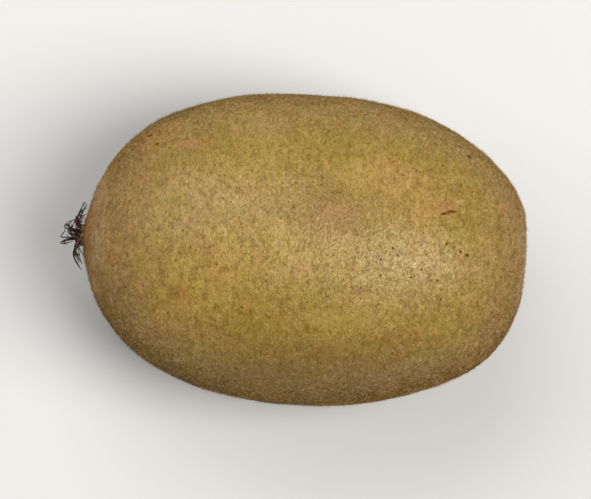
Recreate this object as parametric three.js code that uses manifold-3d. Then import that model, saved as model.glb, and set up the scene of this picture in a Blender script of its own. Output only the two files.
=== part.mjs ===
// A golden kiwi fruit lying on its side, as picked: a blunt oval berry with a shallow dish at the
// stem end, where the dried calyx sits, and a low beak at the blossom end with the dried styles.
// Millimetres, +Z up. +X runs along the fruit towards the stem end. The fruit rests on a small
// flat spot, and the origin is the middle of its bounding box at the level of that spot.

import * as THREE from "three";
import { mergeVertices } from "three/addons/utils/BufferGeometryUtils.js";
import Module from "manifold-3d";

const { PI, abs, cos, exp, hypot, max, pow, sign, sin } = Math;

// The berry, as an oval before its ends are shaped
const fruitLength = 63;
const fruitWidth = 44;
const fruitHeight = 42;
const bluntness = 2.28; // exponent of the oval outline: 2 is an ellipse, more has fuller ends
const restDepth = 0.25; // how much the berry is flattened where it lies
const rings = 48; // rings of facets from end to end
const ringSides = 54; // facets round the berry
const endCrowding = 0.62; // how much closer the rings are at the two ends

// The dish at the stem end, and the beak at the blossom end with a pit in its top
const dish = { depth: 2.8, radius: 4.6 };
const beak = { height: 0.8, radius: 3.6 };
const beakPit = { depth: 0.5, radius: 1.3 };

// Broad hollows and swellings. "at" is a place on a unit ball, "rise" is in millimetres.
const swells = [
  { at: [0.74, 0.66, 0.1], spread: 0.3, rise: -0.37 },
  { at: [0.5, -0.84, 0.2], spread: 0.34, rise: -1 },
  { at: [0.78, -0.6, 0.05], spread: 0.22, rise: 0.2 },
  { at: [0.94, -0.33, 0.05], spread: 0.22, rise: -0.9 },
  { at: [-0.55, 0.3, 0.78], spread: 0.42, rise: -0.35 },
  { at: [0.1, -0.2, 0.97], spread: 0.5, rise: 0.25 },
  { at: [-0.2, -0.7, -0.68], spread: 0.4, rise: -0.4 },
  { at: [-0.62, 0.72, -0.3], spread: 0.35, rise: 0.3 },
];
const swellFade = 10; // the swells fade to nothing towards the ends, more abruptly with a higher power

// The dried calyx: a corky ring that the stalk broke from, sepals round it and stamens between them.
// A pair is the range that each one's size is drawn from, and "sway" is how far it may stand out of
// its even place, as a share of the step between two.
const calyxSeed = 11;
const scar = { radius: 2.1, rise: 0.95, sides: 24 };
const sepals = {
  count: 5,
  sway: [-0.1, 0.1],
  root: 1.2, // distance from the axis
  length: [2.64, 3.41],
  width: [2.55, 3.15],
  tipWidth: 0.06, // as a share of the width
  thickness: 0.6,
  curl: 0.1, // how much the tip stands up
  cup: 0.15, // how much the edges stand up
};
const stamens = {
  count: 15,
  sway: [0.35, 0.65],
  root: 1.6,
  reach: [1.96, 3.08],
  lift: [0.62, 0.85],
  bend: [-0.25, 0.25], // turned this far sideways on its way to the tip, in radians
  thickness: 0.34,
};

// The dried styles: a low core, upright styles in its middle and splayed ones round them
const stylesSeed = 23;
const core = { radius: 1.6, rise: 0.9, sides: 18 };
const uprightStyles = {
  count: 6,
  sway: [0, 0.3],
  root: 0.55,
  reach: [0.96, 1.44],
  lift: [2.04, 2.76],
  bend: [-0.3, 0.3],
  thickness: 0.36,
};
const splayedStyles = {
  count: 15,
  sway: [0, 0.3],
  root: 1.15,
  reach: [2.4, 3.6],
  lift: [1.1, 1.5],
  bend: [-0.2, 0.2],
  thickness: 0.36,
};

// A thread rises from its root and then lies over: its bend, reach and lift at a few points
const threadCourse = [
  [0, 0, 0.25],
  [0, 0.32, 0.85],
  [0.4, 0.67, 1],
  [1, 1, 0.95],
];
const threadSides = 3;
const threadSteps = 5;

const seatGap = 0.3; // clearance between the skin and the dried pieces on it

const halfLength = fruitLength / 2;
const halfWidth = fruitWidth / 2;
const squash = fruitHeight / fruitWidth;

const wasm = await Module();
wasm.setup();

// A closed geometry as a solid that can be joined and cut
function solidOf(geometry) {
  const bare = geometry.clone();
  bare.deleteAttribute("normal");
  bare.deleteAttribute("uv");
  const merged = mergeVertices(bare, 1e-4);
  const mesh = new wasm.Mesh({
    numProp: 3,
    vertProperties: new Float32Array(merged.attributes.position.array),
    triVerts: new Uint32Array(merged.index.array),
  });
  return new wasm.Manifold(mesh);
}

// The largest body of a joined solid, without the scraps and sealed hollows that joining leaves
function wholeBody(solid) {
  return solid.decompose().reduce((kept, body) => (body.volume() > kept.volume() ? body : kept));
}

function geometryOf(solid) {
  const mesh = solid.getMesh();
  const geometry = new THREE.BufferGeometry();
  geometry.setAttribute("position", new THREE.BufferAttribute(mesh.vertProperties, 3));
  geometry.setIndex(new THREE.BufferAttribute(mesh.triVerts, 1));
  geometry.computeVertexNormals();
  return geometry;
}

// Moves every vertex of a geometry to where a function puts it
function reshape(geometry, move) {
  const position = geometry.attributes.position;
  const point = new THREE.Vector3();
  for (let i = 0; i < position.count; i++) {
    point.fromBufferAttribute(position, i);
    move(point);
    position.setXYZ(i, point.x, point.y, point.z);
  }
  return geometry;
}

function bell(distance, radius) {
  return exp(-pow(distance / radius, 2));
}

// How far the skin at an end stands out past the plain oval, at a distance from the axis
function endRelief(end, distance) {
  if (end > 0) return -dish.depth * bell(distance, dish.radius);
  return beak.height * bell(distance, beak.radius) - beakPit.depth * bell(distance, beakPit.radius);
}

// The skin's distance from the middle of the berry along X, at the stem end (1) or blossom end (-1)
function endSkin(end, y, z) {
  const distance = hypot(y, z / squash);
  const oval = halfLength * pow(1 - pow(distance / halfWidth, bluntness), 1 / bluntness);
  return oval + endRelief(end, distance);
}

// Half of the berry's outline, from the blossom end to the stem end: x is the distance from the axis
function berryProfile() {
  const points = [];
  for (let i = 0; i <= rings; i++) {
    const share = i / rings;
    const turn = PI * (share - (endCrowding * sin(2 * PI * share)) / (2 * PI));
    const end = -sign(cos(turn));
    const along = end * halfLength * pow(abs(cos(turn)), 2 / bluntness);
    const onAxis = i === 0 || i === rings;
    const distance = onAxis ? 0 : halfWidth * pow(sin(turn), 2 / bluntness);
    points.push(new THREE.Vector2(distance, along + end * endRelief(end, distance)));
  }
  return points;
}

function addSwells(point) {
  const outward = new THREE.Vector3(
    point.x / halfLength,
    point.y / halfWidth,
    point.z / (halfWidth * squash),
  ).normalize();
  let rise = 0;
  for (const swell of swells) {
    const away = outward.distanceTo(new THREE.Vector3(...swell.at).normalize());
    rise += swell.rise * bell(away, swell.spread);
  }
  point.addScaledVector(outward, rise * (1 - pow(abs(outward.x), swellFade)));
}

function berrySolid() {
  const berry = new THREE.LatheGeometry(berryProfile(), ringSides);
  berry.rotateZ(-PI / 2);
  berry.scale(1, 1, squash);
  reshape(berry, addSwells);
  const groundHeight = 10;
  const ground = new THREE.BoxGeometry(2 * fruitLength, 2 * fruitWidth, groundHeight);
  const lowest = solidOf(berry).boundingBox().min[2];
  ground.translate(0, 0, lowest + restDepth - groundHeight / 2);
  return solidOf(berry).subtract(solidOf(ground));
}

// Pieces on an end are drawn flat: x and y across the end and z above the skin. This lays them on it.
function layOnEnd(end, geometry) {
  return reshape(geometry, (point) => {
    const above = point.z;
    const skin = endSkin(end, point.y, point.x);
    point.set(end * (skin + seatGap + above), point.y, -end * point.x);
  });
}

// A round piece on an end, turned from a profile of distances from the axis and heights
function turned(profile, sides) {
  const points = profile.map(([distance, height]) => new THREE.Vector2(distance, height));
  return new THREE.LatheGeometry(points, sides).rotateX(PI / 2);
}

// The next seeded draw from a range
function draw([low, high]) {
  return low + (high - low) * THREE.MathUtils.seededRandom();
}

// How far round the axis the next one of an even circle stands
function drawTurn(kind, i) {
  return ((2 * PI) / kind.count) * (i + draw(kind.sway));
}

// A thread of even thickness, from its root on a dried piece to its free tip
function thread(kind, i) {
  const turn = drawTurn(kind, i);
  const bend = draw(kind.bend);
  const reach = draw(kind.reach);
  const lift = draw(kind.lift);
  const points = threadCourse.map(([bendShare, reachShare, liftShare]) => {
    const distance = kind.root + reachShare * reach;
    const place = turn + bendShare * bend;
    return new THREE.Vector3(distance * cos(place), distance * sin(place), liftShare * lift);
  });
  const section = new THREE.Shape();
  for (let side = 0; side < threadSides; side++) {
    const corner = (2 * PI * side) / threadSides;
    section.lineTo((kind.thickness / 2) * cos(corner), (kind.thickness / 2) * sin(corner));
  }
  return new THREE.ExtrudeGeometry(section, {
    steps: threadSteps,
    extrudePath: new THREE.CatmullRomCurve3(points),
  });
}

// One dried sepal: an ovate blade that curls up a little at its tip and edges
function sepal(i) {
  const turn = drawTurn(sepals, i);
  const length = draw(sepals.length);
  const width = draw(sepals.width);
  const blade = new THREE.BoxGeometry(length, width, sepals.thickness, 6, 4, 1);
  blade.translate(length / 2, 0, sepals.thickness / 2);
  const rootTurn = PI / 5; // the blade's half width follows a sine from this turn to a half turn
  reshape(blade, (point) => {
    const along = point.x / length;
    const across = (2 * point.y) / width;
    point.x += sepals.root;
    point.y *= max(sin(rootTurn + (PI - rootTurn) * along), 0) + sepals.tipWidth;
    point.z += sepals.curl * pow(along, 3) + sepals.cup * across * across * along;
  });
  return blade.rotateZ(turn);
}

// The corky ring stands up round a pit
function stalkScar() {
  const { radius, rise, sides } = scar;
  const profile = [
    [0, 0],
    [radius, 0],
    [0.96 * radius, 0.7 * rise],
    [0.78 * radius, rise],
    [0.55 * radius, 0.85 * rise],
    [0.3 * radius, 0.5 * rise],
    [0, 0.42 * rise],
  ];
  return turned(profile, sides);
}

// Joins what stands on an end into one solid
function joinOnEnd(end, geometries) {
  const solids = geometries.map((geometry) => solidOf(layOnEnd(end, geometry)));
  return wholeBody(solids.reduce((joined, solid) => joined.add(solid)));
}

function calyxSolid() {
  THREE.MathUtils.seededRandom(calyxSeed);
  const pieces = [stalkScar()];
  for (let i = 0; i < sepals.count; i++) pieces.push(sepal(i));
  for (let i = 0; i < stamens.count; i++) pieces.push(thread(stamens, i));
  return joinOnEnd(1, pieces);
}

// The low dome that the dried styles stand on
function styleCore() {
  const { radius, rise, sides } = core;
  const profile = [
    [0, 0],
    [radius, 0],
    [0.92 * radius, 0.55 * rise],
    [0.6 * radius, 0.9 * rise],
    [0, rise],
  ];
  return turned(profile, sides);
}

function stylesSolid() {
  THREE.MathUtils.seededRandom(stylesSeed);
  const pieces = [styleCore()];
  for (const kind of [uprightStyles, splayedStyles]) {
    for (let i = 0; i < kind.count; i++) pieces.push(thread(kind, i));
  }
  return joinOnEnd(-1, pieces);
}

function namedMesh(name, solid, colour, roughness) {
  const material = new THREE.MeshStandardMaterial({ color: colour, roughness, metalness: 0 });
  const mesh = new THREE.Mesh(geometryOf(solid), material);
  mesh.name = name;
  return mesh;
}

const kiwi = new THREE.Group();
kiwi.add(namedMesh("fruit", berrySolid(), 0xa48a50, 0.65));
kiwi.add(namedMesh("calyx", calyxSolid(), 0x8a6a48, 0.9));
kiwi.add(namedMesh("dried_styles", stylesSolid(), 0x3a2a1c, 0.85));

const bounds = new THREE.Box3().setFromObject(kiwi);
const middle = bounds.getCenter(new THREE.Vector3());
kiwi.position.set(-middle.x, -middle.y, -bounds.min.z);

export default kiwi;
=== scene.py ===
import math
import random

import bmesh
import bpy
from mathutils import Matrix, Vector, noise
from mathutils.bvhtree import BVHTree


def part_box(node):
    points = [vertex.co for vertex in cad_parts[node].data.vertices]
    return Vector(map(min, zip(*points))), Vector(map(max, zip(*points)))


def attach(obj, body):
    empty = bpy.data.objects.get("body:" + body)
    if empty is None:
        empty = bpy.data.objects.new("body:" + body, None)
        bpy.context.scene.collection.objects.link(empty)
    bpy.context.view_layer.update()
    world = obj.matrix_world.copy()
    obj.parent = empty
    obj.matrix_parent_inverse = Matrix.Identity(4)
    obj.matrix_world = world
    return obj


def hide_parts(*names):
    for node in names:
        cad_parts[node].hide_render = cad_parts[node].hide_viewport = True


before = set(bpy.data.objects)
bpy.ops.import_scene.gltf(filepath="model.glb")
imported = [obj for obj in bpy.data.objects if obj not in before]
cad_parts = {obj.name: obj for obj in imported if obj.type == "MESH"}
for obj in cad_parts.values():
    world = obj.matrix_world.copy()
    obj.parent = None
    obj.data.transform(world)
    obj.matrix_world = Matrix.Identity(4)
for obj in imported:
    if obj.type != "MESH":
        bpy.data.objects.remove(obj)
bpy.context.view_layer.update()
fruitLow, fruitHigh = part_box("fruit")
mm = 0.001
weldDistance = 1e-4  # millimetres
print("frame loaded")


def bell(distance, radius):
    return math.exp(-((distance / radius) ** 2))


def smooth(low, high, value):
    share = min(max((value - low) / (high - low), 0), 1)
    return share * share * (3 - 2 * share)


def colour(red, green, blue):  # from 0 to 255, as a colour picker shows it
    def linear(part):
        part /= 255
        return part / 12.92 if part <= 0.04045 else ((part + 0.055) / 1.055) ** 2.4

    return (linear(red), linear(green), linear(blue), 1)


# The berry, with the same oval as its solid. Millimetres.
berry = {
    "halfLength": 31.5,
    "halfWidth": 22,
    "halfHeight": 21,
    "bluntness": 2.28,
    "dish": (2.8, 4.6),  # depth and radius, at the stem end
    "beak": (0.8, 3.6),  # height and radius, at the blossom end
    "beakPit": (0.5, 1.3),
    "restDepth": 0.25,
    "settleHeight": 1.5,  # the relief is calm this close to the floor, where it is pressed flat
    "rings": 240,
    "sides": 300,
    "endCrowding": 0.62,
    "wobble": (0.1, 7),  # height and size of the gentle unevenness
    "pimples": (0.07, 1.1),  # height and size of the skin's own relief
    "grain": (0.04, 0.45),
}
# Broad hollows and swellings: place on a unit ball, spread, rise in millimetres
swells = [
    ((0.74, 0.66, 0.1), 0.3, -0.37),
    ((0.5, -0.84, 0.2), 0.34, -1),
    ((0.78, -0.6, 0.05), 0.22, 0.2),
    ((0.94, -0.33, 0.05), 0.22, -0.9),
    ((-0.55, 0.3, 0.78), 0.42, -0.35),
    ((0.1, -0.2, 0.97), 0.5, 0.25),
    ((-0.2, -0.7, -0.68), 0.4, -0.4),
    ((-0.62, 0.72, -0.3), 0.35, 0.3),
]
swellFade = 10  # how suddenly the swells end at the two tips


def endRelief(end, distance):  # how far an end stands out past the plain oval
    if end > 0:
        return -berry["dish"][0] * bell(distance, berry["dish"][1])
    raised = berry["beak"][0] * bell(distance, berry["beak"][1])
    return raised - berry["beakPit"][0] * bell(distance, berry["beakPit"][1])


def ovalAt(distance):  # the plain oval's reach along X, at a distance from the axis
    share = min(distance / berry["halfWidth"], 1)
    power = berry["bluntness"]
    return berry["halfLength"] * (1 - share**power) ** (1 / power)


def endSkin(end, y, z):
    distance = math.hypot(y, z * berry["halfWidth"] / berry["halfHeight"])
    return ovalAt(distance) + endRelief(end, distance)


def berryProfile():
    points = []
    power = berry["bluntness"]
    for i in range(berry["rings"] + 1):
        share = i / berry["rings"]
        angle = math.pi * share - berry["endCrowding"] * math.sin(2 * math.pi * share) / 2
        end = -1 if share < 0.5 else 1
        along = end * berry["halfLength"] * abs(math.cos(angle)) ** (2 / power)
        onAxis = i in (0, berry["rings"])
        distance = 0 if onAxis else berry["halfWidth"] * math.sin(angle) ** (2 / power)
        points.append(Vector((along + end * endRelief(end, distance), distance, 0)))
    return points


profile = berryProfile()
# The oval's middle in the row's frame. berryBody settles its height.
middle = Vector((fruitLow.x / mm - min(p.x for p in profile), 0, berry["halfHeight"]))
middle.y = (fruitLow.y + fruitHigh.y) / 2 / mm


def finished(bm, name, materials, smoothShade=True):  # millimetres in, an object in metres out
    bmesh.ops.scale(bm, vec=(mm, mm, mm), verts=bm.verts)
    for face in bm.faces:
        face.smooth = smoothShade
    mesh = bpy.data.meshes.new(name)
    bm.to_mesh(mesh)
    bm.free()
    for material in materials:
        mesh.materials.append(material)
    obj = bpy.data.objects.new(name, mesh)
    bpy.context.scene.collection.objects.link(obj)
    return obj


def relief(point, settings):
    height, size = settings
    return height * noise.noise(point / size)


def berryBody():
    bm = bmesh.new()
    verts = [bm.verts.new(p) for p in profile]
    edges = [bm.edges.new(pair) for pair in zip(verts, verts[1:])]
    bmesh.ops.spin(bm, geom=verts + edges, cent=(0, 0, 0), axis=(1, 0, 0), angle=2 * math.pi,
                   steps=berry["sides"], use_merge=True)
    bmesh.ops.remove_doubles(bm, verts=bm.verts, dist=weldDistance)
    bmesh.ops.scale(bm, vec=(1, 1, berry["halfHeight"] / berry["halfWidth"]), verts=bm.verts)
    halves = Vector((berry["halfLength"], berry["halfWidth"], berry["halfHeight"]))
    places = [(Vector(at).normalized(), spread, rise) for at, spread, rise in swells]
    for vert in bm.verts:
        outward = Vector((vert.co.x / halves.x, vert.co.y / halves.y, vert.co.z / halves.z)).normalized()
        rise = sum(height * bell((outward - at).length, spread) for at, spread, height in places)
        vert.co += outward * rise * (1 - abs(outward.x) ** swellFade)
    floorLevel = min(vert.co.z for vert in bm.verts) + berry["restDepth"]
    bmesh.ops.recalc_face_normals(bm, faces=bm.faces)
    bm.normal_update()
    for vert in bm.verts:
        spot = vert.co.copy()
        lift = relief(spot, berry["wobble"]) + relief(spot, berry["pimples"]) + relief(spot, berry["grain"])
        settled = smooth(floorLevel, floorLevel + berry["settleHeight"], spot.z)
        vert.co += vert.normal * lift * settled
        vert.co.z = max(vert.co.z, floorLevel)
    middle.z = -floorLevel
    bmesh.ops.translate(bm, vec=middle, verts=bm.verts)
    return bm


# How the photograph sees the fruit: pixels of the photograph, millimetres and degrees
photoView = {
    "middle": (412.7, 123.0),  # the pixel of the oval's middle
    "mmPerPixel": 0.284,
    "turn": 3.9,  # the fruit's axis falls to the right by this much
    "standsAt": (-31.1, -37.9, 700),  # the camera from the oval's middle
}
photoTurn = math.radians(photoView["turn"])


def skinAt(pixel):  # the place on the skin that a pixel of the photograph shows, in millimetres
    right = (pixel[0] - photoView["middle"][0]) * photoView["mmPerPixel"]
    up = (photoView["middle"][1] - pixel[1]) * photoView["mmPerPixel"]
    x = right * math.cos(photoTurn) - up * math.sin(photoTurn)
    y = right * math.sin(photoTurn) + up * math.cos(photoTurn)
    way = (middle + Vector((x, y, 0)) - photoCamera).normalized()
    hit = skinTree.ray_cast(photoCamera * mm, way)[0]
    return hit / mm


# Node helpers: each adds a node or two and gives back the socket that the next one needs
def node(tree, kind, **settings):
    made = tree.nodes.new(kind)
    for key, value in settings.items():
        setattr(made, key, value)
    return made


def feed(tree, socket, value):
    if isinstance(value, bpy.types.NodeSocket):
        tree.links.new(value, socket)
    elif value is not None:
        socket.default_value = value


def maths(tree, operation, a, b=None):
    made = node(tree, "ShaderNodeMath", operation=operation)
    feed(tree, made.inputs[0], a)
    feed(tree, made.inputs[1], b)
    return made.outputs[0]


def vectorMath(tree, operation, a, b=None, scale=None):
    made = node(tree, "ShaderNodeVectorMath", operation=operation)
    feed(tree, made.inputs[0], a)
    feed(tree, made.inputs[1], b)
    feed(tree, made.inputs[3], scale)
    return made.outputs[1 if operation in ("LENGTH", "DOT_PRODUCT") else 0]


def grain(tree, place, size, detail=2.0, rough=0.5, stretch=(1, 1, 1), swirl=0.0):
    placed = node(tree, "ShaderNodeMapping")
    feed(tree, placed.inputs["Vector"], place)
    placed.inputs["Scale"].default_value = [part / size for part in stretch]
    made = node(tree, "ShaderNodeTexNoise")
    feed(tree, made.inputs["Vector"], placed.outputs[0])
    made.inputs["Scale"].default_value = 1
    made.inputs["Detail"].default_value = detail
    made.inputs["Roughness"].default_value = rough
    made.inputs["Distortion"].default_value = swirl
    return made.outputs["Fac"]


def between(tree, value, low, high, toLow=0.0, toHigh=1.0):
    made = node(tree, "ShaderNodeMapRange", interpolation_type="SMOOTHSTEP")
    for socket, given in zip(made.inputs, (value, low, high, toLow, toHigh)):
        feed(tree, socket, given)
    return made.outputs[0]


def blend(tree, share, a, b):
    made = node(tree, "ShaderNodeMix", data_type="RGBA", clamp_factor=True)
    feed(tree, made.inputs["Factor"], share)
    feed(tree, made.inputs[6], a)
    feed(tree, made.inputs[7], b)
    return made.outputs[2]


def layer(tree, base, value, span, tint):  # a tint over the base where a value goes across a span
    low, high, strength = span
    return blend(tree, between(tree, value, low, high, 0, strength), base, tint)


def near(tree, place, at, sizes, lean, softness):  # 1 in the middle of a patch, 0 past its rim
    placed = node(tree, "ShaderNodeMapping", vector_type="TEXTURE")
    feed(tree, placed.inputs["Vector"], place)
    placed.inputs["Location"].default_value = at
    placed.inputs["Rotation"].default_value = (0, 0, lean)
    placed.inputs["Scale"].default_value = sizes
    return between(tree, vectorMath(tree, "LENGTH", placed.outputs[0]), softness, 1, 1.0, 0.0)


def dots(tree, place, look):  # round dots, of which only some show
    placed = node(tree, "ShaderNodeMapping")
    feed(tree, placed.inputs["Vector"], place)
    placed.inputs["Scale"].default_value = [1 / look["spacing"]] * 3
    cells = node(tree, "ShaderNodeTexVoronoi")
    tree.links.new(placed.outputs[0], cells.inputs["Vector"])
    cells.inputs["Scale"].default_value = 1
    dot = between(tree, cells.outputs["Distance"], look["reach"] * look["full"], look["reach"], 1.0, 0.0)
    parts = node(tree, "ShaderNodeSeparateColor")
    tree.links.new(cells.outputs["Color"], parts.inputs[0])
    shown = between(tree, parts.outputs[0], *look["chance"], 0, look["strength"])
    return maths(tree, "MULTIPLY", dot, shown)


def newMaterial(name):
    material = bpy.data.materials.new(name)
    material.use_nodes = True
    tree = material.node_tree
    coords = node(tree, "ShaderNodeTexCoord")
    inMm = node(tree, "ShaderNodeMapping")
    inMm.inputs["Scale"].default_value = (1 / mm, 1 / mm, 1 / mm)
    tree.links.new(coords.outputs["Object"], inMm.inputs["Vector"])
    return material, tree, inMm.outputs[0], tree.nodes["Principled BSDF"]


def bumped(tree, shader, height, distance):
    bump = node(tree, "ShaderNodeBump")
    bump.inputs["Distance"].default_value = distance * mm
    bump.inputs["Strength"].default_value = 1
    feed(tree, bump.inputs["Height"], height)
    tree.links.new(bump.outputs[0], shader.inputs["Normal"])


def heightAndEndward(tree, place):  # the height, and how far along the fruit from its middle
    parts = node(tree, "ShaderNodeSeparateXYZ")
    tree.links.new(place, parts.inputs[0])
    endward = maths(tree, "ABSOLUTE", maths(tree, "SUBTRACT", parts.outputs[0], middle.x))
    return parts.outputs[2], endward


skinLook = {
    "gold": colour(153, 125, 51),
    "olive": colour(137, 115, 35),
    "tan": colour(154, 123, 66),
    "russet": colour(150, 106, 50),
    # the ends' brown, partly painted shade
    "endBrownAndShade": colour(128, 97, 44),
    # painted sheen: paler taupe at the tips
    "sheenTaupe": colour(176, 148, 110),
    # painted shade: the colour laid low down, darker towards the bottom
    "underShadeBrown": colour(88, 61, 0),
    "dark": colour(92, 63, 4),
    "pale": colour(200, 172, 122),
    "mottleDark": colour(112, 82, 18),
    "mottlePale": colour(172, 138, 84),
    "pore": colour(78, 44, 12),
    "scratch": colour(84, 40, 0),
    "rust": colour(128, 78, 40),
    # Where each colour is laid: from and to this value of its noise, and how strongly
    "goldIn": (0.4, 0.62, 1),
    "tanIn": (0.52, 0.72, 0.6),
    "russetIn": (0.5, 0.68, 0.55),
    "russetShading": (0.45, 0.3, 0.35),
    "mottleDarkening": (0.5, 0.36, 0.55),
    "mottlePaling": (0.54, 0.68, 0.4),
    "paintedUnderShade": (34, 20, 0.82),  # painted shade: darker and browner towards the bottom; from and to this height, and how strongly
    "endBrowningAndShade": (20, 27, 0.6),  # browner ends, with painted shade there too: from and to this far from the middle, and how strongly
    # painted sheen: paler taupe at the two tips, standing in for light caught by the fuzz at the rim
    "tipSheenPaling": (28, 31, 0.7),
    # The specks. Pairs of values are for the rims and for the crown.
    "crown": (21, 37),  # the skin is worn smooth above this height, and fully so above that one
    "endCalm": (26, 30, 1, 0.35),  # from and to this far from the middle, strength there
    "lowShadeCalm": (6, 22, 0.4, 1),  # painted shade: fewer pale specks low down; from and to this height, strength of the pale specks there
    "rimStrength": (0.95, 0),
    "rimDark": (0.5, 0.41),
    "rimPale": (0.52, 0.62, 0.5),
    "grainStrength": (1, 0.4),
    "grainDarkFrom": 0.5,
    "grainDarkTo": (0.4, 0.36),
    "grainPale": (0.52, 0.68, 0.7),
    "flecks": {"spacing": 0.7, "reach": 0.28, "full": 0.35, "chance": (0.5, 0.6), "strength": 0.35},
    "pores": {"spacing": 1.25, "reach": 0.19, "full": 0.35, "chance": (0.4, 0.9), "strength": 0.75},
    "tintSoftness": 0.25,
    "markSoftness": 0.5,
    "markDepth": 0.6,
    "markStrength": 0.9,
    "endRust": 0.75,
    "roughness": (0.75, 0.44),
    "grainRoughness": (0.3, 0.7, 0.08, -0.08),  # from and to this value of the grain, added there
    "gloss": (0.03, 0.68),
    "dentGloss": (1.0, 0.1),  # outside and inside a pore or mark
    "grainGloss": (0.38, 0.5, 0.5, 1.05),
    "glossTint": colour(255, 248, 236),
    "sheen": 0.02,
    "sheenRoughness": 0.45,
    "sheenTint": colour(226, 190, 150),
    "dentDepth": 0.4,
    "bump": 0.16,
}
skinPatterns = {  # sizes in millimetres
    "zones": {"size": 13, "detail": 3, "rough": 0.55},
    "tanZones": {"size": 7.8, "stretch": (1, 1.3, 1.3)},
    "russet": {"size": 5.2, "detail": 3, "rough": 0.6, "stretch": (1.3, 1, 0.8)},
    "mottle": {"size": 1.3, "detail": 3, "rough": 0.6, "stretch": (1.3, 0.8, 0.8)},
    "finerGrain": {"size": 0.3, "rough": 0.6, "stretch": (1.2, 0.8, 0.8), "swirl": 0.5},
    "coarserGrain": {"size": 0.55, "rough": 0.6, "stretch": (1.2, 0.8, 0.8), "swirl": 0.5},
    "rimGrain": {"size": 0.24, "rough": 0.6, "swirl": 0.4},
}
# Tints on the skin: pixel of the photograph, reach along and across in millimetres, lean, colour, strength
tints = {
    # painted shadow: a darker patch near the middle
    "middlePaintedShadow": ((426, 103), (9, 6), -5, colour(118, 86, 16), 0.75),
    # painted shade: darker along the lower edge
    "lowerEdgeShade": ((418, 186), (28, 7), 4, colour(98, 66, 0), 0.45),
    "scratchHalo": ((481, 101.5), (3.2, 1.9), 10, colour(160, 104, 66), 0.5),
    "haloTail": ((469, 105), (2.6, 1.6), 30, colour(162, 110, 68), 0.35),
    "paleFlake": ((488.5, 98.5), (1.0, 0.6), 30, colour(206, 168, 124), 0.4),
    "paleFlakeBelow": ((490, 103), (0.8, 0.4), 70, colour(200, 160, 118), 0.4),
    "leftRusset": ((338, 65), (5.5, 3.2), 30, colour(176, 124, 52), 0.5),
    "middleRusset": ((424, 112), (4.5, 2.6), -20, colour(148, 108, 52), 0.4),
    "oliveBand": ((441, 98), (6.5, 2.6), -8, colour(132, 106, 34), 0.6),
    "middleBlush": ((428, 103), (3.8, 1.6), 0, colour(156, 112, 70), 0.4),
    "leftBlush": ((352, 70), (2.4, 1.1), 0, colour(165, 112, 84), 0.45),
    "greyBruise": ((493, 76), (1.4, 0.8), 40, colour(104, 84, 66), 0.55),
    "lowGlow": ((430, 158), (5.5, 3.4), 20, colour(150, 128, 48), 0.6),
    "upperGlow": ((437, 86), (4.5, 3.6), 0, colour(156, 131, 55), 0.55),
    "topTan": ((386, 62), (6.0, 2.4), 0, colour(150, 124, 66), 0.4),
}
# Dark marks: pixel of the photograph, half length and half width in millimetres, lean
marks = {
    "scratchStart": ((480.6, 104.5), (1.1, 0.24), 18),
    "scratchEnd": ((484.2, 103.5), (1.4, 0.27), 8),
    "rowDot1": ((481.8, 119.6), (0.28, 0.24), 60),
    "rowDot2": ((485.4, 121.6), (0.22, 0.18), 0),
    "rowDot3": ((488.8, 123.8), (0.32, 0.22), -20),
    "rowDot4": ((492, 125.4), (0.44, 0.28), -20),
    "leftDot1": ((333.4, 65.5), (0.5, 0.36), 20),
    "leftDot2": ((336.9, 69.6), (0.36, 0.3), 0),
    "crownDot1": ((454.5, 121.9), (0.22, 0.2), 0),
    "crownDot2": ((457.2, 125.6), (0.22, 0.2), 0),
    "crownDot3": ((463.7, 136.5), (0.2, 0.18), 0),
    "crownDot4": ((469, 132.6), (0.19, 0.17), 0),
    "crownDot5": ((477, 138.1), (0.25, 0.2), 0),
    "rimDot1": ((488.5, 71), (0.5, 0.3), -30),
    "rimDot2": ((493, 76), (0.55, 0.3), -30),
}


def skinColour(tree, place):  # shared by the skin and, paler, by its fuzz
    height, endward = heightAndEndward(tree, place)
    zones, tanZones, russet, mottle = (
        grain(tree, place, **skinPatterns[name]) for name in ("zones", "tanZones", "russet", "mottle")
    )
    base = skinLook["olive"]
    for value, span, tint in (
        (zones, "goldIn", "gold"),
        (tanZones, "tanIn", "tan"),
        # painted shade, darker towards the bottom
        (height, "paintedUnderShade", "underShadeBrown"),
        # browner ends, partly painted shade
        (endward, "endBrowningAndShade", "endBrownAndShade"),
        # painted sheen at the tips
        (endward, "tipSheenPaling", "sheenTaupe"),
        (russet, "russetIn", "russet"),
        (russet, "russetShading", "mottleDark"),
        (mottle, "mottleDarkening", "mottleDark"),
        (mottle, "mottlePaling", "mottlePale"),
    ):
        base = layer(tree, base, value, skinLook[span], skinLook[tint])
    for pixel, (along, across), lean, tint, strength in tints.values():
        reach = (along, across, max(along, across))
        patch = near(tree, place, skinAt(pixel), reach, math.radians(lean), skinLook["tintSoftness"])
        base = blend(tree, maths(tree, "MULTIPLY", patch, strength), base, tint)
    return base


endStreaks = {
    "pattern": {"size": 0.16, "detail": 3, "rough": 0.6},
    "along": (26, 28.5),  # from and to this far from the middle
    "fade": (2.0, 8.5),  # from and to this far from the axis
    "streaky": (0.35, 0.65, 0.35, 1.0),
}


def endTint(tree, place):  # rusty streaks that run out from both ends
    flat = vectorMath(tree, "MULTIPLY", vectorMath(tree, "SUBTRACT", place, middle), (0, 1, 1))
    streaks = grain(tree, vectorMath(tree, "NORMALIZE", flat), **endStreaks["pattern"])
    atEnd = between(tree, heightAndEndward(tree, place)[1], *endStreaks["along"])
    rim = between(tree, vectorMath(tree, "LENGTH", flat), *endStreaks["fade"], 1.0, 0.0)
    streaky = between(tree, streaks, *endStreaks["streaky"])
    return maths(tree, "MULTIPLY", maths(tree, "MULTIPLY", atEnd, rim), streaky)


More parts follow.
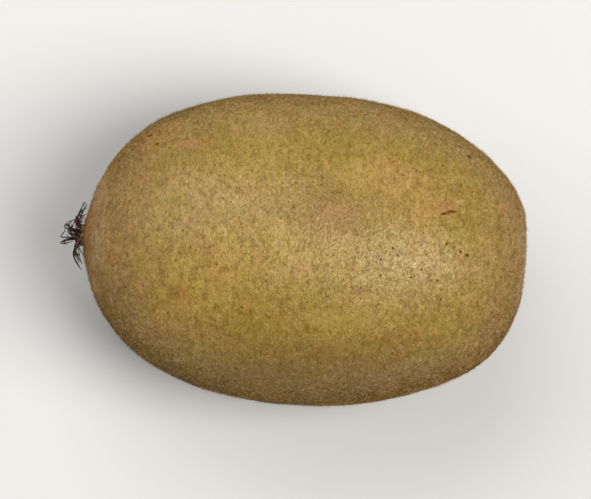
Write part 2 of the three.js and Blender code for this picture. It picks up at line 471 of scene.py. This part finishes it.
def specks(tree, base, pattern, strength, lowShadeCalm, dark, pale):  # dark specks, and pale ones, fewer low down as painted shade
    darkShare = maths(tree, "MULTIPLY", between(tree, pattern, *dark), strength)
    base = blend(tree, darkShare, base, skinLook["dark"])
    low, high, paleness = pale
    paleStrength = maths(tree, "MULTIPLY", maths(tree, "MULTIPLY", strength, lowShadeCalm), paleness)
    paleShare = maths(tree, "MULTIPLY", between(tree, pattern, low, high), paleStrength)
    return blend(tree, paleShare, base, skinLook["pale"])


def skinMaterial():
    material, tree, place, shader = newMaterial("kiwiSkin")
    height, endward = heightAndEndward(tree, place)
    worn = between(tree, height, *skinLook["crown"])  # 1 on the crown, where the fuzz is rubbed off
    calm = between(tree, endward, *skinLook["endCalm"])
    # painted shade: fewer pale specks low down
    lowShadeCalm = between(tree, height, *skinLook["lowShadeCalm"])
    rimGrain, finer, coarser = (
        grain(tree, place, **skinPatterns[name]) for name in ("rimGrain", "finerGrain", "coarserGrain")
    )
    fine = maths(tree, "MULTIPLY", maths(tree, "ADD", finer, coarser), 0.5)
    base = skinColour(tree, place)
    strength = maths(tree, "MULTIPLY", between(tree, worn, 0, 1, *skinLook["rimStrength"]), calm)
    base = specks(tree, base, rimGrain, strength, lowShadeCalm, skinLook["rimDark"], skinLook["rimPale"])
    strength = maths(tree, "MULTIPLY", between(tree, worn, 0, 1, *skinLook["grainStrength"]), calm)
    dark = (skinLook["grainDarkFrom"], between(tree, worn, 0, 1, *skinLook["grainDarkTo"]))
    base = specks(tree, base, fine, strength, lowShadeCalm, dark, skinLook["grainPale"])
    base = blend(tree, dots(tree, place, skinLook["flecks"]), base, skinLook["pale"])
    dents = dots(tree, place, skinLook["pores"])
    base = blend(tree, dents, base, skinLook["pore"])
    rusty = maths(tree, "MULTIPLY", endTint(tree, place), skinLook["endRust"])
    base = blend(tree, rusty, base, skinLook["rust"])
    for pixel, (along, across), lean in marks.values():
        sizes = (along, across, skinLook["markDepth"])
        mark = near(tree, place, skinAt(pixel), sizes, math.radians(lean), skinLook["markSoftness"])
        base = blend(tree, maths(tree, "MULTIPLY", mark, skinLook["markStrength"]), base, skinLook["scratch"])
        dents = maths(tree, "MAXIMUM", dents, mark)
    tree.links.new(base, shader.inputs["Base Color"])
    rough = between(tree, worn, 0, 1, *skinLook["roughness"])
    rough = maths(tree, "ADD", rough, between(tree, fine, *skinLook["grainRoughness"]))
    tree.links.new(rough, shader.inputs["Roughness"])
    gloss = between(tree, worn, 0, 1, *skinLook["gloss"])
    gloss = maths(tree, "MULTIPLY", gloss, between(tree, dents, 0, 1, *skinLook["dentGloss"]))
    gloss = maths(tree, "MULTIPLY", gloss, between(tree, fine, *skinLook["grainGloss"]))
    tree.links.new(gloss, shader.inputs["Specular IOR Level"])
    shader.inputs["Specular Tint"].default_value = skinLook["glossTint"]
    shader.inputs["Sheen Weight"].default_value = skinLook["sheen"]
    shader.inputs["Sheen Roughness"].default_value = skinLook["sheenRoughness"]
    shader.inputs["Sheen Tint"].default_value = skinLook["sheenTint"]
    sunk = maths(tree, "MULTIPLY", dents, skinLook["dentDepth"])
    bumped(tree, shader, maths(tree, "SUBTRACT", fine, sunk), skinLook["bump"])
    return material


fuzzLook = {
    "pale": colour(196, 158, 86),
    "brown": colour(100, 66, 18),
    "skinShare": 0.5,  # how much of the skin's own colour shows through
    "tufts": {"size": 0.36, "rough": 0.6, "stretch": (1.2, 0.8, 0.8), "swirl": 0.9},
    "tuftDarkening": (0.5, 0.4, 0.9),
    "tuftPaling": (0.53, 0.65, 0.45),
    "endRust": 0.5,
    "roughness": 0.6,
    "gloss": 0.05,
    "sheen": 0.03,
}


def fuzzMaterial():
    material, tree, place, shader = newMaterial("kiwiFuzz")
    shade = node(tree, "ShaderNodeAttribute", attribute_name="shade")
    hair = blend(tree, shade.outputs["Fac"], fuzzLook["brown"], fuzzLook["pale"])
    base = blend(tree, fuzzLook["skinShare"], hair, skinColour(tree, place))
    tufts = grain(tree, place, **fuzzLook["tufts"])
    base = layer(tree, base, tufts, fuzzLook["tuftDarkening"], skinLook["dark"])
    base = layer(tree, base, tufts, fuzzLook["tuftPaling"], skinLook["pale"])
    rusty = maths(tree, "MULTIPLY", endTint(tree, place), fuzzLook["endRust"])
    base = blend(tree, rusty, base, skinLook["rust"])
    tree.links.new(base, shader.inputs["Base Color"])
    shader.inputs["Roughness"].default_value = fuzzLook["roughness"]
    shader.inputs["Specular IOR Level"].default_value = fuzzLook["gloss"]
    shader.inputs["Sheen Weight"].default_value = fuzzLook["sheen"]
    return material


dryLook = {
    "sepal": colour(160, 122, 78),
    "sepalDark": colour(88, 58, 30),
    "scar": colour(164, 124, 84),
    "scarDark": colour(70, 44, 24),
    "thread": colour(50, 36, 26),
    "threadPale": colour(118, 94, 68),
    "patches": {"detail": 4, "rough": 0.65},
    "fibres": {"detail": 3, "rough": 0.6, "stretch": (0.4, 1.5, 1.5)},
    "fibreSize": 0.35,  # as a share of the patches' size
    "fibreDarkening": (0.55, 0.3, 0.6),
    "fibreSpan": (0.3, 0.7),
    "polish": 0.15,  # how much less rough the fibres' backs are
    "gloss": 0.2,
    "bump": 0.08,
}


def dryMaterial(name, light, dark, size, roughness, share=(0.36, 0.64)):
    material, tree, place, shader = newMaterial(name)
    patches = grain(tree, place, size, **dryLook["patches"])
    fibres = grain(tree, place, size * dryLook["fibreSize"], **dryLook["fibres"])
    base = blend(tree, between(tree, patches, *share), dryLook[dark], dryLook[light])
    base = layer(tree, base, fibres, dryLook["fibreDarkening"], dryLook[dark])
    tree.links.new(base, shader.inputs["Base Color"])
    rough = between(tree, fibres, *dryLook["fibreSpan"], roughness, roughness - dryLook["polish"])
    tree.links.new(rough, shader.inputs["Roughness"])
    shader.inputs["Specular IOR Level"].default_value = dryLook["gloss"]
    bumped(tree, shader, maths(tree, "ADD", patches, fibres), dryLook["bump"])
    return material


# The skin
skin = finished(berryBody(), "kiwiSkin", [])
photoCamera = middle + Vector(photoView["standsAt"])
skinPoints = [vert.co for vert in skin.data.vertices]
skinTree = BVHTree.FromPolygons(skinPoints, [face.vertices for face in skin.data.polygons])
skin.data.materials.append(skinMaterial())
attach(skin, "root")
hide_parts("fruit")
print("skin made:", len(skin.data.polygons), "faces")


# The fuzz: short hairs that lie mostly round the fruit, each a slim three-sided spike. Millimetres.
fuzz = {
    "pieces": 4,
    "seedStep": 100,
    "perSquareMm": 3.6,  # in each piece
    "length": (0.25, 0.65),
    "rootRadius": (0.016, 0.03),
    "sides": 3,
    "stand": 0.32,  # how steeply a hair stands, against how far it lies over
    "round": 0.5,  # how strongly the hairs lie round the fruit
    "swirl": 3.6,  # how strongly a slow noise turns them
    "swirlSize": 5,
    "swirlDetail": 2,
    "chaos": 0.45,  # how strongly each hair goes its own way
    "floorClear": 0.9,
    "bareRadius": 2.2,  # no hairs this close to the axis, where the dried pieces sit
}


def randomNumber(tree, low, high, seed):
    made = node(tree, "FunctionNodeRandomValue", data_type="FLOAT")
    feed(tree, made.inputs[2], low)
    feed(tree, made.inputs[3], high)
    feed(tree, made.inputs["Seed"], seed)
    return made.outputs[1]


def fuzzTree(seed, material):
    tree = bpy.data.node_groups.new("fuzz", "GeometryNodeTree")
    tree.interface.new_socket("Geometry", in_out="INPUT", socket_type="NodeSocketGeometry")
    tree.interface.new_socket("Geometry", in_out="OUTPUT", socket_type="NodeSocketGeometry")
    source = node(tree, "NodeGroupInput")
    points = node(tree, "GeometryNodeDistributePointsOnFaces", distribute_method="RANDOM")
    feed(tree, points.inputs["Mesh"], source.outputs[0])
    feed(tree, points.inputs["Density"], fuzz["perSquareMm"] / mm**2)
    feed(tree, points.inputs["Seed"], seed)
    # Lying direction: round the fruit, turned by a slow noise, with some chaos
    position = node(tree, "GeometryNodeInputPosition").outputs[0]
    normal = points.outputs["Normal"]
    around = vectorMath(tree, "NORMALIZE", vectorMath(tree, "CROSS_PRODUCT", normal, (1, 0, 0)))
    wind = node(tree, "ShaderNodeTexNoise")
    feed(tree, wind.inputs["Vector"], position)
    wind.inputs["Scale"].default_value = 1 / (fuzz["swirlSize"] * mm)
    wind.inputs["Detail"].default_value = fuzz["swirlDetail"]
    swirl = vectorMath(tree, "SUBTRACT", wind.outputs["Color"], (0.5, 0.5, 0.5))
    chaos = node(tree, "FunctionNodeRandomValue", data_type="FLOAT_VECTOR")
    feed(tree, chaos.inputs[0], [-fuzz["chaos"]] * 3)
    feed(tree, chaos.inputs[1], [fuzz["chaos"]] * 3)
    feed(tree, chaos.inputs["Seed"], seed + 7)
    around = vectorMath(tree, "SCALE", around, scale=fuzz["round"])
    lie = vectorMath(tree, "ADD", around, vectorMath(tree, "SCALE", swirl, scale=fuzz["swirl"]))
    lie = vectorMath(tree, "ADD", lie, chaos.outputs[0])
    steep = vectorMath(tree, "SCALE", normal, scale=fuzz["stand"])
    away = vectorMath(tree, "DOT_PRODUCT", lie, normal)
    level = vectorMath(tree, "SUBTRACT", lie, vectorMath(tree, "SCALE", normal, scale=away))
    aim = node(tree, "FunctionNodeAlignRotationToVector", axis="Z")
    feed(tree, aim.inputs["Vector"], vectorMath(tree, "ADD", level, steep))
    # Bare close to the floor and on the two ends' middles
    parts = node(tree, "ShaderNodeSeparateXYZ")
    feed(tree, parts.inputs[0], position)
    fromAxis = vectorMath(tree, "SUBTRACT", position, middle * mm)
    fromAxis = vectorMath(tree, "LENGTH", vectorMath(tree, "MULTIPLY", fromAxis, (0, 1, 1)))
    clear = maths(tree, "GREATER_THAN", parts.outputs[2], fuzz["floorClear"] * mm)
    outside = maths(tree, "GREATER_THAN", fromAxis, fuzz["bareRadius"] * mm)
    hair = node(tree, "GeometryNodeMeshCone")
    cone = {"Vertices": fuzz["sides"], "Radius Top": 0.0, "Radius Bottom": mm, "Depth": mm}
    for name, value in cone.items():
        feed(tree, hair.inputs[name], value)
    thick = randomNumber(tree, *fuzz["rootRadius"], seed + 1)
    tall = randomNumber(tree, *fuzz["length"], seed + 2)
    size = node(tree, "ShaderNodeCombineXYZ")
    for socket, value in zip(size.inputs, (thick, thick, tall)):
        feed(tree, socket, value)
    placed = node(tree, "GeometryNodeInstanceOnPoints")
    feed(tree, placed.inputs["Points"], points.outputs["Points"])
    feed(tree, placed.inputs["Selection"], maths(tree, "MULTIPLY", clear, outside))
    feed(tree, placed.inputs["Instance"], hair.outputs["Mesh"])
    feed(tree, placed.inputs["Rotation"], aim.outputs[0])
    feed(tree, placed.inputs["Scale"], size.outputs[0])
    stored = node(tree, "GeometryNodeStoreNamedAttribute", data_type="FLOAT", domain="INSTANCE")
    feed(tree, stored.inputs["Geometry"], placed.outputs[0])
    feed(tree, stored.inputs["Name"], "shade")
    feed(tree, stored.inputs["Value"], randomNumber(tree, 0.0, 1.0, seed + 3))
    real = node(tree, "GeometryNodeRealizeInstances")
    feed(tree, real.inputs[0], stored.outputs[0])
    painted = node(tree, "GeometryNodeSetMaterial")
    feed(tree, painted.inputs["Geometry"], real.outputs[0])
    painted.inputs["Material"].default_value = material
    feed(tree, node(tree, "NodeGroupOutput").inputs[0], painted.outputs[0])
    return tree


fuzzPaint = fuzzMaterial()
grower = bpy.data.objects.new("grower", skin.data)
bpy.context.scene.collection.objects.link(grower)
growth = grower.modifiers.new("fuzz", "NODES")
for number in range(1, fuzz["pieces"] + 1):
    growth.node_group = fuzzTree(fuzz["seedStep"] * number, fuzzPaint)
    bpy.context.view_layer.update()
    seen = grower.evaluated_get(bpy.context.evaluated_depsgraph_get())
    name = f"kiwiFuzz{number}"
    mesh = bpy.data.meshes.new_from_object(seen)
    mesh.name = name
    hairs = bpy.data.objects.new(name, mesh)
    bpy.context.scene.collection.objects.link(hairs)
    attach(hairs, "root")
    print("fuzz", number, "made:", len(mesh.polygons), "faces")
bpy.data.objects.remove(grower)


def onEnd(end, x, y, above):  # a flat drawing's point laid on an end: x and y across it, above the skin
    return middle + Vector((end * (endSkin(end, y, x) + above), y, -end * x))


def layDown(bm, verts, end):
    for vert in verts:
        vert.co = onEnd(end, vert.co.x, vert.co.y, vert.co.z)


def polar(angle, distance, height):
    return Vector((distance * math.cos(angle), distance * math.sin(angle), height))


def curvePoint(points, share):  # a smooth curve through a few points
    whole = share * (len(points) - 1)
    i = min(int(whole), len(points) - 2)
    t = whole - i
    p0, p1 = points[max(i - 1, 0)], points[i]
    p2, p3 = points[i + 1], points[min(i + 2, len(points) - 1)]
    square = 2 * p0 - 5 * p1 + 4 * p2 - p3
    cube = 3 * p1 - p0 - 3 * p2 + p3
    return 0.5 * (2 * p1 + (p2 - p0) * t + square * t**2 + cube * t**3)


# A dry thread: how far it strays from its smooth curve, how much it thins to its tip
thread = {"wriggle": 0.14, "wriggleSize": 0.6, "thinning": 0.6, "sides": 5, "lookAhead": 0.02}


def threadTurn(points, share):  # the turn from Z to the thread's own direction
    ahead = curvePoint(points, min(share + thread["lookAhead"], 1))
    behind = curvePoint(points, max(share - thread["lookAhead"], 0))
    return (ahead - behind).normalized().to_track_quat("Z", "Y").to_matrix().to_4x4()


def addThread(bm, points, radius, steps, slot):
    first = curvePoint(points, 0)
    spin = threadTurn(points, 0)
    ring = bmesh.ops.create_circle(bm, segments=thread["sides"], radius=radius, cap_ends=True,
                                   matrix=Matrix.Translation(first) @ spin)["verts"]
    edges = list({e for v in ring for e in v.link_edges})
    made = list({f for v in ring for f in v.link_faces})
    offsets = [spin.inverted() @ (v.co - first) for v in ring]
    for step in range(1, steps + 1):
        share = step / steps
        here = curvePoint(points, share)
        here += thread["wriggle"] * share * noise.noise_vector(here / thread["wriggleSize"])
        spin = threadTurn(points, share)
        grown = bmesh.ops.extrude_edge_only(bm, edges=edges)["geom"]
        edges = [e for e in grown if isinstance(e, bmesh.types.BMEdge)]
        made += [f for f in grown if isinstance(f, bmesh.types.BMFace)]
        ring = [v for v in grown if isinstance(v, bmesh.types.BMVert)]
        thin = 1 - thread["thinning"] * share**2
        for vert, offset in zip(ring, offsets):
            vert.co = here + spin @ (offset * thin)
    made += bmesh.ops.contextual_create(bm, geom=edges)["faces"]
    for face in made:
        face.material_index = slot


def turnedBody(look, slot):  # a short round stub: its outline spun about Z
    bm = bmesh.new()
    low, high = look["foot"]
    points = [(0, low), (look["radius"], low), (look["radius"], high)]
    points += [(across * look["radius"], up * look["rise"]) for across, up in look["outline"]]
    verts = [bm.verts.new((distance, 0, height)) for distance, height in points]
    edges = [bm.edges.new(pair) for pair in zip(verts, verts[1:])]
    bmesh.ops.spin(bm, geom=verts + edges, cent=(0, 0, 0), axis=(0, 0, 1), angle=2 * math.pi,
                   steps=look["steps"], use_merge=True)
    bmesh.ops.remove_doubles(bm, verts=bm.verts, dist=weldDistance)
    for face in bm.faces:
        face.material_index = slot
    return bm


def threadPoints(kind, angle, bend, reach, lift):
    return [
        polar(angle + bends * bend, kind["root"] + reaches * reach, lifts * lift + plus)
        for bends, reaches, lifts, plus in kind["path"]
    ]


# The dried calyx: corky scar, sepals folded down round it, stamens between them. Millimetres.
scar = {
    "radius": 2.0,
    "rise": 0.9,
    "steps": 96,
    "foot": (-0.3, 0.1),  # its upright side, from under the skin
    # From the side over the rim to the middle: shares of the radius and of the rise
    "outline": [
        (0.97, 0.62), (0.88, 0.9), (0.82, 0.98), (0.76, 1), (0.69, 0.97), (0.62, 0.88), (0.56, 0.7),
        (0.5, 0.5), (0.43, 0.36), (0.36, 0.3), (0.28, 0.36), (0.2, 0.44), (0.1, 0.5), (0, 0.52),
    ],
    "roughness": (0.3, 0.5),  # height and size
    "fineRoughness": (0.6, 0.4),  # as shares of those
    "lowest": 0.05,
    "outOfRound": (0.16, 0.8),
    "drawing": 5,  # which slice of the noise the outline's unevenness is
}
sepals = {
    "count": 5,
    "seed": 11,
    "grid": (28, 18),
    "root": 1.1,
    "length": 3.2,
    "lengthVaries": (0.85, 1.08),
    "width": 3.1,
    "widthVaries": (0.85, 1.05),
    "turnVaries": 0.2,
    "thickness": 0.13,
    "ovate": (0.2, 0.8, 0.85, 0.05),  # where its swell starts, how long it is, its bluntness, least width
    "apart": 10,  # how far apart in the noise two sepals are, so that each crumples its own way
    "crumple": (0.42, 0.75),  # height and size
    "fineCrumple": (0.4, 0.35),  # as shares of those
    "crumpleSwell": (0.15, 0.75),
    "cup": 0.3,
    "lift": 0.3,
    "droop": 0.12,
    "lowest": 0.1,
    "tears": (0.3, 0.32),  # depth and size
    "tearPower": 3,
    "tipTears": 0.5,
}
stamens = {
    "count": 40,
    "turnVaries": 0.7,
    "root": 1.7,
    "reach": 2.5,
    "reachVaries": (0.6, 1.15),
    "lift": (0.15, 0.42),
    "bend": 0.5,
    "radius": 0.065,
    "radiusVaries": (0.8, 1.2),
    "steps": 14,
    # Points along it: shares of the bend, reach and lift, and a height added
    "path": ((0, 0, 0, 0.15), (0, 0.3, 1, 0.2), (0.4, 0.6, 1, 0), (1, 0.85, 0.8, 0), (1.6, 1, 0.5, 0)),
}


def roughenScar(bm):
    height, size = scar["roughness"]
    fineHeight, fineSize = scar["fineRoughness"]
    strays, straySize = scar["outOfRound"]
    for vert in bm.verts:
        if vert.co.z > 0:
            wave = noise.noise(vert.co / size) + fineHeight * noise.noise(vert.co / (size * fineSize))
            vert.co.z = max(vert.co.z + height * wave, scar["lowest"])
            drawing = Vector((vert.co.x, vert.co.y, scar["drawing"]))
            vert.co.xy *= 1 + strays * noise.noise(drawing / straySize)


def shapeSepal(blade, length, width, number):  # from a flat grid, lying along X
    height, size = sepals["crumple"]
    fineHeight, fineSize = sepals["fineCrumple"]
    start, span, blunt, least = sepals["ovate"]
    foldStart, foldSpan = sepals["crumpleSwell"]
    tearDepth, tearSize = sepals["tears"]
    for vert in blade:
        along, across = vert.co.x + 0.5, 2 * vert.co.y
        ovate = max(math.sin(math.pi * (start + span * along)), 0) ** blunt + least
        spot = Vector((along * length, across * width / 2, sepals["apart"] * number))
        folds = height * (noise.noise(spot / size) + fineHeight * noise.noise(spot / (size * fineSize)))
        cup = sepals["cup"] * across**2 * math.sin(math.pi * along)
        swell = math.sin(math.pi * (foldStart + foldSpan * along))
        lift = sepals["lift"] - sepals["droop"] * along + cup + folds * swell
        torn = 1 + tearDepth * noise.noise(spot / tearSize) * abs(across) ** sepals["tearPower"]
        reach = sepals["root"] + length * along * (1 + sepals["tipTears"] * (torn - 1))
        vert.co = Vector((reach, across * width / 2 * ovate * torn, max(lift, sepals["lowest"])))


def calyxBody():
    bm = turnedBody(scar, 1)
    roughenScar(bm)
    layDown(bm, list(bm.verts), 1)
    draw = random.Random(sepals["seed"])
    for i in range(sepals["count"]):
        before = set(bm.verts)
        bmesh.ops.create_grid(bm, x_segments=sepals["grid"][0], y_segments=sepals["grid"][1], size=0.5)
        blade = [v for v in bm.verts if v not in before]
        length = sepals["length"] * draw.uniform(*sepals["lengthVaries"])
        width = sepals["width"] * draw.uniform(*sepals["widthVaries"])
        angle = 2 * math.pi * (i + sepals["turnVaries"] * draw.uniform(-0.5, 0.5)) / sepals["count"]
        shapeSepal(blade, length, width, i)
        bmesh.ops.rotate(bm, verts=blade, matrix=Matrix.Rotation(angle, 3, "Z"))
        faces = list({f for v in blade for f in v.link_faces})
        grown = bmesh.ops.extrude_face_region(bm, geom=faces)["geom"]
        under = [v for v in grown if isinstance(v, bmesh.types.BMVert)]
        bmesh.ops.translate(bm, vec=(0, 0, -sepals["thickness"]), verts=under)
        layDown(bm, [v for v in bm.verts if v not in before], 1)
    for i in range(stamens["count"]):
        angle = 2 * math.pi * (i + draw.uniform(0, stamens["turnVaries"])) / stamens["count"]
        bend = draw.uniform(-stamens["bend"], stamens["bend"])
        reach = stamens["reach"] * draw.uniform(*stamens["reachVaries"])
        lift = draw.uniform(*stamens["lift"])
        points = [onEnd(1, *p) for p in threadPoints(stamens, angle, bend, reach, lift)]
        radius = stamens["radius"] * draw.uniform(*stamens["radiusVaries"])
        addThread(bm, points, radius, stamens["steps"], 2)
    bmesh.ops.recalc_face_normals(bm, faces=bm.faces)
    return bm


sepalPaint = dryMaterial("drySepal", "sepal", "sepalDark", size=0.8, roughness=0.9)
scarPaint = dryMaterial("stalkScar", "scar", "scarDark", size=0.6, roughness=0.92)
threadPaint = dryMaterial("dryThread", "threadPale", "thread", size=0.7, roughness=0.75, share=(0.5, 0.75))
calyx = finished(calyxBody(), "driedCalyx", [sepalPaint, scarPaint, threadPaint])
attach(calyx, "root")
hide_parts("calyx")
print("calyx made:", len(calyx.data.polygons), "faces")

# The dried styles: a low core, upright ones in its middle and curled ones lying round them. Millimetres.
styleCore = {
    "radius": 1.6,
    "rise": 0.9,
    "steps": 36,
    "foot": (-0.3, 0.1),
    "outline": [(0.92, 0.55), (0.75, 0.8), (0.5, 0.95), (0.25, 0.9), (0, 0.8)],
    "roughness": (0.15, 0.5),  # height and size
}
# Points along a style: shares of the bend, reach and lift, and a height added. Its tip's height varies.
stylePath = ((0, 0, 0, 0.2), (0, 0.2, 0.7, 0), (0.3, 0.5, 1, 0), (0.8, 0.8, 0.85, 0), (1.2, 1, 1, 0))
uprightStyles = {"count": 14, "root": 0.5, "reach": 1.7, "lift": 3, "curl": 1.1, "path": stylePath}
splayedStyles = {"count": 34, "root": 1.1, "reach": 3.7, "lift": 1.5, "curl": 0.7, "path": stylePath}
styleThreads = {
    "seed": 23,
    "radius": 0.11,
    "steps": 12,
    "turnVaries": 0.6,
    "reachVaries": (0.6, 1.2),
    "liftVaries": (0.55, 1.1),
    "tipVaries": (0.4, 1),
    "radiusVaries": (0.75, 1.15),
}


def stylesBody():
    bm = turnedBody(styleCore, 1)
    height, size = styleCore["roughness"]
    for vert in bm.verts:
        if vert.co.z > 0:
            vert.co.z += height * noise.noise(vert.co / size)
    layDown(bm, list(bm.verts), -1)
    draw = random.Random(styleThreads["seed"])
    for kind in (uprightStyles, splayedStyles):
        for i in range(kind["count"]):
            angle = 2 * math.pi * (i + draw.uniform(0, styleThreads["turnVaries"])) / kind["count"]
            bend = kind["curl"] * draw.uniform(-1, 1)
            reach = kind["reach"] * draw.uniform(*styleThreads["reachVaries"])
            lift = kind["lift"] * draw.uniform(*styleThreads["liftVaries"])
            points = threadPoints(kind, angle, bend, reach, lift)
            points[-1].z = lift * draw.uniform(*styleThreads["tipVaries"])
            radius = styleThreads["radius"] * draw.uniform(*styleThreads["radiusVaries"])
            addThread(bm, [onEnd(-1, *p) for p in points], radius, styleThreads["steps"], 0)
    bmesh.ops.recalc_face_normals(bm, faces=bm.faces)
    return bm


stylePaint = dryMaterial("dryStyle", "threadPale", "thread", size=0.7, roughness=0.7, share=(0.5, 0.8))
styles = finished(stylesBody(), "driedStyles", [stylePaint, scarPaint])
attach(styles, "root")
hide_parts("dried_styles")
print("styles made:", len(styles.data.polygons), "faces")

# The floor and the light round it
studio = {
    "floorSize": 4,
    "floorColour": colour(200, 200, 199),
    "floorRoughness": 0.9,
    "worldColour": (1.0, 0.98, 0.95, 1),
    "worldStrength": 0.28,
}
bm = bmesh.new()
bmesh.ops.create_grid(bm, x_segments=1, y_segments=1, size=studio["floorSize"] / 2 / mm)
floorPaint, tree, place, shader = newMaterial("paleFloor")
shader.inputs["Base Color"].default_value = studio["floorColour"]
shader.inputs["Roughness"].default_value = studio["floorRoughness"]
floor = finished(bm, "floor", [floorPaint], False)

world = bpy.data.worlds.new("studio")
bpy.context.scene.world = world
world.use_nodes = True
world.node_tree.nodes["Background"].inputs["Color"].default_value = studio["worldColour"]
world.node_tree.nodes["Background"].inputs["Strength"].default_value = studio["worldStrength"]

# Soft lights: where each stands in metres, its width across and along the fruit, watts and tint
lamps = {
    "key": {"at": (0.43, -0.07, 0.8), "width": (0.44, 0.8), "power": 8.5, "tint": (1.0, 0.98, 0.94)},
    "fill": {"at": (-0.15, 0.45, 0.65), "width": (0.5, 0.5), "power": 2.2, "tint": (1.0, 1.0, 1.0)},
    "left": {"at": (-0.6, 0.25, 0.45), "width": (0.7, 0.7), "power": 2.5, "tint": (1.0, 1.0, 1.0)},
}
for name, settings in lamps.items():
    light = bpy.data.lights.new(name, "AREA")
    light.shape = "ELLIPSE"
    light.size, light.size_y = settings["width"]
    light.energy = settings["power"]
    light.color = settings["tint"]
    lamp = bpy.data.objects.new(name, light)
    bpy.context.scene.collection.objects.link(lamp)
    lamp.location = settings["at"]
    lamp.rotation_euler = (middle * mm - lamp.location).to_track_quat("-Z", "Y").to_euler()
bpy.context.scene.view_settings.view_transform = "Standard"

# The camera looks down as the photograph does, closer in
shot = {"zoom": 2, "width": 591, "sensor": 36, "farthest": 20}  # times, pixels, millimetres, metres
aim = Vector((0, 0, middle.z * mm))
camera = bpy.data.objects.new("camera", bpy.data.cameras.new("camera"))
bpy.context.scene.collection.objects.link(camera)
camera.location = photoCamera * mm
ahead = (aim - camera.location).normalized()
right = Vector((math.cos(photoTurn), math.sin(photoTurn), 0))
right = (right - ahead * right.dot(ahead)).normalized()
up = right.cross(ahead)
camera.rotation_euler = Matrix((right, up, -ahead)).transposed().to_euler()
seenWidth = shot["width"] * photoView["mmPerPixel"] / shot["zoom"] * mm
camera.data.sensor_width = shot["sensor"]
camera.data.lens = shot["sensor"] * (aim - camera.location).length / seenWidth
camera.data.clip_end = shot["farthest"]
bpy.context.scene.camera = camera
print("camera and lights set")
